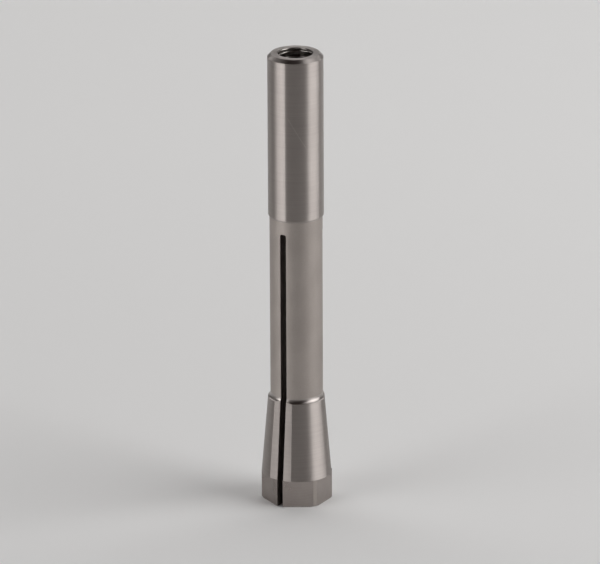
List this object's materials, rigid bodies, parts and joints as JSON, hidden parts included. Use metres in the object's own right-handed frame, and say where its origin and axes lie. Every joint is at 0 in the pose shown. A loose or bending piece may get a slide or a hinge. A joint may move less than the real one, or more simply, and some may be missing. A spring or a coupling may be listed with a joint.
{
  "type": "collet",
  "caption": "Spindle collet with a hexagonal nose, a slotted closing taper, a long relieved neck and a threaded rear shank.",
  "frame": {"origin": "centre of the nose face, on the axis", "axes": "+Z along the axis from the nose to the threaded rear end, +X through the middle of one slot"},
  "size_m": [0.0102, 0.0102, 0.0673],
  "materials": {
    "spring_steel": "ground shank and taper, matte neck, milled flats"
  },
  "bodies": {
    "root": {"collet": "spring_steel"}
  },
  "joints": []
}
